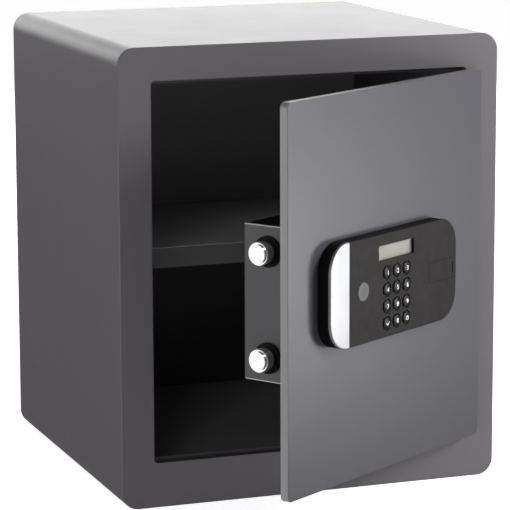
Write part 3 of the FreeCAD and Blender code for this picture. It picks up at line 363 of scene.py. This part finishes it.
MOULDINGS = {
    "black_plastic": dict(colour=(0.003, 0.003, 0.0035), roughness=0.6, grain_depth=0.00003,
                          gloss=0.12),
    "fascia_plastic": dict(colour=(0.0085, 0.0074, 0.0071), roughness=0.55,
                           grain_depth=0.00002, gloss=0.14),
    "key_plastic": dict(colour=(0.009, 0.009, 0.010), roughness=0.36, grain_depth=0.000004,
                        grain_size=0.002, gloss=0.18),
    "button_red": dict(colour=(0.45, 0.03, 0.03), roughness=0.25, grain_depth=0.000006,
                       grain_size=0.002),
    "key_rubber": dict(colour=(0.05, 0.05, 0.05), roughness=0.7, grain_depth=0.00004),
    "cable_sheath": dict(colour=(0.02, 0.02, 0.02), roughness=0.55, grain_depth=0.00003),
}

METALS = {
    "zinc_steel": dict(colour=(0.62, 0.62, 0.6), roughness=0.35),
    "badge_metal": dict(colour=(0.085, 0.085, 0.087), roughness=0.5),
    "lock_brass": dict(colour=(0.72, 0.55, 0.27), roughness=0.3),
    "pinion_steel": dict(colour=(0.5, 0.5, 0.51), roughness=0.3),
}


def make_materials():
    """One material for each of the record's slots."""
    made = {
        "bolt_chrome": bolt_chrome(),
        "bright_trim": bright_trim(),
        "lens": clear_lens(),
        "lcd": display(),
        "circuit": circuit(),
        "cell_jacket": cell_jacket(),
        "felt": felt(),
    }
    for kind, table in ((powder_coat, COATS), (moulded, MOULDINGS), (brushed, METALS)):
        for name, values in table.items():
            made[name] = kind(name, **values)
    return made


def dress_nodes(materials):
    """Give every CAD node the material of its slot in the record."""
    for part in frame["record"]["subparts"]:
        mesh = NODES[part["node"]].data
        mesh.materials.clear()
        mesh.materials.append(materials[part["material_slot"]])


# ------------------------------------------------------------------ floor mat

MAT_CELL = 0.004
MAT_THICKNESS = 0.002
MAT_CORNER_RADIUS = 0.006
MAT_SINK = 0.0001
MAT_WAVE = 0.0001
MAT_WAVE_X = 61  # radians per metre
MAT_WAVE_Y = 47
MAT_EDGE_DROP = 0.0003
MAT_EDGE_WIDTH = 0.002


def flat_grid(low, high, cell):
    """Square faces of about this size over the top of a box."""
    columns = round((high.x - low.x) / cell)
    rows = round((high.y - low.y) / cell)
    mesh = bmesh.new()
    grid = {}
    for i in range(columns + 1):
        for j in range(rows + 1):
            x = low.x + (high.x - low.x) * i / columns
            y = low.y + (high.y - low.y) * j / rows
            grid[i, j] = mesh.verts.new((x, y, high.z))
    for i in range(columns):
        for j in range(rows):
            mesh.faces.new((grid[i, j], grid[i + 1, j], grid[i + 1, j + 1], grid[i, j + 1]))
    return mesh


def pull_corner(vert, middle, half, radius):
    """Move a vertex in from a sharp corner on to a rounded one."""
    offset = Vector((vert.co.x - middle.x, vert.co.y - middle.y))
    inner = Vector((half.x - radius, half.y - radius))
    past = Vector((abs(offset.x) - inner.x, abs(offset.y) - inner.y))
    if past.x > 0 and past.y > 0 and past.length > radius:
        past = past.normalized() * radius
        vert.co.x = middle.x + math.copysign(inner.x + past.x, offset.x)
        vert.co.y = middle.y + math.copysign(inner.y + past.y, offset.y)


def lower_top(vert, middle, half):
    """Lower a point of the mat's top a little unevenly, and most at the mat's edge."""
    edge = min(half.x - abs(vert.co.x - middle.x), half.y - abs(vert.co.y - middle.y))
    wave = math.sin(vert.co.x * MAT_WAVE_X) * math.sin(vert.co.y * MAT_WAVE_Y + 1) * MAT_WAVE
    vert.co.z -= MAT_EDGE_DROP * math.exp(-edge / MAT_EDGE_WIDTH) + MAT_SINK + wave


def make_mat(material):
    """The felt mat, laid flat: soft rounded edges and a slightly uneven top."""
    low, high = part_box("floor_mat")
    middle = (low + high) / 2
    half = (high - low) / 2
    mesh = flat_grid(low, high, MAT_CELL)
    for vert in mesh.verts:
        pull_corner(vert, middle, half, MAT_CORNER_RADIUS)
        lower_top(vert, middle, half)
    top = bpy.data.meshes.new("felt_mat")
    mesh.to_mesh(top)
    mesh.free()
    for face in top.polygons:
        face.use_smooth = True
    top.materials.append(material)
    mat = place_object("felt_mat", top)
    thickness = mat.modifiers.new("thickness", "SOLIDIFY")
    thickness.thickness = MAT_THICKNESS
    thickness.offset = -1
    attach(mat, "carcass")
    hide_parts("floor_mat")


# --------------------------------------------------------------- key markings

DOME_RADIUS = 13 * MM
MARK_PROUD = 0.04 * MM
MARK_THICK = 0.12 * MM
MARK_CELL = 0.4 * MM
MARK_REACH = 3 * MM
DIGIT_HEIGHT = 5.6 * MM
TICK_WIDTH = 0.6 * MM
PADLOCK_WIDTH = 0.5 * MM
SHACKLE_RADIUS = 0.95 * MM


def key_crown(key):
    """The foremost point of a domed key, from the middle of its front."""
    points = [Vector(vertex.co) for vertex in NODES[key].data.vertices]
    depth = min(point.dot(INTO) for point in points)
    across = [point.dot(ALONG) for point in points]
    heights = [point.z for point in points]
    middle = (min(across) + max(across)) / 2
    height = (min(heights) + max(heights)) / 2
    return INTO * depth + ALONG * middle + UP * height


def flat_text(text, height):
    """A glyph as a flat mesh in X and Y, centred on its own box."""
    curve = bpy.data.curves.new("glyph", "FONT")
    curve.body = text
    curve.size = height
    curve.extrude = MARK_THICK / 2
    carrier = place_object("glyph", curve)
    bpy.context.view_layer.update()
    mesh = bmesh.new()
    mesh.from_mesh(bpy.data.meshes.new_from_object(carrier))
    bpy.data.objects.remove(carrier)
    centre_on_box(mesh)
    return mesh


def flat_strokes(strokes, width):
    """A symbol as a flat mesh: a thin bar for each stretch of each stroke."""
    mesh = bmesh.new()
    for stroke in strokes:
        for start, end in zip(stroke, stroke[1:]):
            add_bar(mesh, Vector(start), Vector(end), width)
    centre_on_box(mesh)
    return mesh


def add_bar(mesh, start, end, width):
    """A flat bar with pointed ends between two points of the plane."""
    run = (end - start).normalized()
    side = Vector((-run.y, run.x)) * width / 2
    outline = [start - run * width / 2, start - side, end - side,
               end + run * width / 2, end + side, start + side]
    low = [mesh.verts.new((*point, -MARK_THICK / 2)) for point in outline]
    high = [mesh.verts.new((*point, MARK_THICK / 2)) for point in outline]
    mesh.faces.new(high)
    mesh.faces.new(low[::-1])
    for index in range(len(outline)):
        following = (index + 1) % len(outline)
        mesh.faces.new((low[index], low[following], high[following], high[index]))


def centre_on_box(mesh):
    """Shift a mesh so that its box is centred on the origin."""
    xs = [vert.co.x for vert in mesh.verts]
    ys = [vert.co.y for vert in mesh.verts]
    shift = Vector(((min(xs) + max(xs)) / 2, (min(ys) + max(ys)) / 2, 0))
    for vert in mesh.verts:
        vert.co -= shift


def slice_finely(mesh, cell, reach):
    """Cut a mesh along a grid, so that it can follow a curved face."""
    count = math.ceil(reach / cell)
    for axis in (Vector((1, 0, 0)), Vector((0, 1, 0))):
        for index in range(-count, count + 1):
            geometry = mesh.verts[:] + mesh.edges[:] + mesh.faces[:]
            bmesh.ops.bisect_plane(mesh, geom=geometry, plane_co=axis * index * cell,
                                   plane_no=axis)


def mark_key(key, flat, material):
    """Print a flat glyph on a key's dome."""
    slice_finely(flat, MARK_CELL, MARK_REACH)
    crown = key_crown(key)
    for vert in flat.verts:
        sag = DOME_RADIUS - math.sqrt(DOME_RADIUS ** 2 - vert.co.x ** 2 - vert.co.y ** 2)
        depth = sag - MARK_PROUD - vert.co.z
        vert.co = crown + ALONG * vert.co.x + UP * vert.co.y + INTO * depth
    finished = bpy.data.meshes.new(f"{key}_mark")
    flat.to_mesh(finished)
    flat.free()
    finished.materials.append(material)
    piece = place_object(f"{key}_mark", finished)
    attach(piece, key)


def arc(middle, radius, start, end, count=10):
    """Points along a circular arc, with its angles in degrees."""
    angles = [math.radians(start + (end - start) * step / count) for step in range(count + 1)]
    return [(middle[0] + radius * math.cos(a), middle[1] + radius * math.sin(a)) for a in angles]


def tick():
    """The one bent stroke of a tick."""
    return [[(-1.7 * MM, 0.1 * MM), (-0.5 * MM, -1.2 * MM), (1.8 * MM, 1.5 * MM)]]


def padlock():
    """A square body and a round shackle on top of it."""
    side, top, foot = 1.4 * MM, 0.3 * MM, -1.8 * MM
    body = [(-side, top), (side, top), (side, foot), (-side, foot), (-side, top)]
    shackle = arc((0, top), SHACKLE_RADIUS, 180, 0)
    return [body, shackle]


def mark_keys():
    """Digits, a tick and a padlock on the twelve keys."""
    ink = moulded("key_ink", (0.66, 0.66, 0.67), roughness=0.5, grain_depth=0.000003)
    for digit in "1234567890":
        mark_key(f"key_{digit}", flat_text(digit, DIGIT_HEIGHT), ink)
    mark_key("key_enter", flat_strokes(tick(), TICK_WIDTH), ink)
    mark_key("key_lock", flat_strokes(padlock(), PADLOCK_WIDTH), ink)


# --------------------------------------------------------------------- studio

def stage_look(name, colour, glow):
    """A plain pale surface that also gives a little light of its own."""
    look = Look(name, Roughness=0.9, Specular_IOR_Level=0.0)
    look.set(Base_Color=colour, Emission_Color=colour, Emission_Strength=glow)
    return look.material


def make_floor():
    """A wide pale floor and a pale surround that only the camera sees."""
    bpy.ops.mesh.primitive_circle_add(vertices=96, radius=14, fill_type="NGON")
    floor = bpy.context.object
    floor.name = "studio_floor"
    floor.data.materials.append(stage_look("studio_floor", (0.95, 0.95, 0.96, 1), glow=0.85))
    floor.visible_glossy = False
    bpy.ops.mesh.primitive_uv_sphere_add(segments=48, ring_count=24, radius=16)
    surround = bpy.context.object
    surround.name = "studio_surround"
    surround.data.materials.append(
        stage_look("studio_surround", (0.96, 0.96, 0.97, 1), glow=1.0))
    surround.visible_glossy = False
    surround.visible_diffuse = False
    surround.visible_shadow = False
    surround.visible_transmission = False


def soft_box(name, place, target, size, watts):
    """A rectangular light, with its width and height, that the camera doesn't see."""
    data = bpy.data.lights.new(name, "AREA")
    data.shape = "RECTANGLE"
    data.size, data.size_y = size
    data.energy = watts
    light = place_object(name, data)
    light.location = place
    light.rotation_euler = (Vector(target) - Vector(place)).to_track_quat("-Z", "Y").to_euler()
    light.visible_camera = False
    return light


def make_lights():
    """Soft boxes all round the safe, and a card on the left that shows only in reflections."""
    soft_box("rear_box", (0.6, 2.6, 0.85), target=(0, 0, 0.4), size=(3.6, 1.1), watts=56)
    soft_box("key_box", (1.2, -0.95, 0.8), target=(0.05, -0.2, 0.2), size=(0.45, 0.45), watts=31)
    soft_box("right_box", (1.15, -0.62, 0.0), target=(0, -0.25, 0.2), size=(0.3, 0.3), watts=9.5)
    soft_box("front_box", (-1.1, -1.8, 1.4), target=(0, 0, 0.2), size=(0.5, 0.5), watts=3)
    soft_box("left_box", (-2.5, -1.0, 0.3), target=(-0.1, 0, 0.2), size=(1.2, 1.2), watts=18)
    bolt_card = soft_box("bolt_card", (-1.5, -0.2, 0.0), target=(-0.1, -0.33, 0.2),
                         size=(1.3, 1.1), watts=5)
    bolt_card.visible_diffuse = False


def make_world():
    """A dim even surround that lights the safe from every side."""
    world = bpy.data.worlds.new("studio_world")
    world.use_nodes = True
    background = world.node_tree.nodes["Background"]
    background.inputs["Color"].default_value = (1.0, 0.99, 1.0, 1)
    background.inputs["Strength"].default_value = 0.18
    bpy.context.scene.world = world


def make_camera():
    """A long lens in front and to the left, looking slightly down on the safe."""
    degrees_down, degrees_tilted, degrees_right = 10.55, -0.2, 20.11
    data = bpy.data.cameras.new("camera")
    data.sensor_width = 36
    data.lens = 193.0
    data.clip_end = 60
    camera = place_object("camera", data)
    camera.location = (-0.8498, -2.3418, 0.6481)
    pitch, yaw = math.radians(90 - degrees_down), math.radians(-degrees_right)
    level = Euler((pitch, 0, yaw)).to_matrix()
    roll = Euler((0, 0, math.radians(degrees_tilted))).to_matrix()
    camera.rotation_euler = (level @ roll).to_euler()
    bpy.context.scene.camera = camera


def use_plain_colours():
    """Show colours as they are, with no film curve."""
    bpy.context.scene.view_settings.view_transform = "Standard"


materials = make_materials()
dress_nodes(materials)
make_mat(materials["felt"])
mark_keys()
make_floor()
make_lights()
make_world()
make_camera()
use_plain_colours()
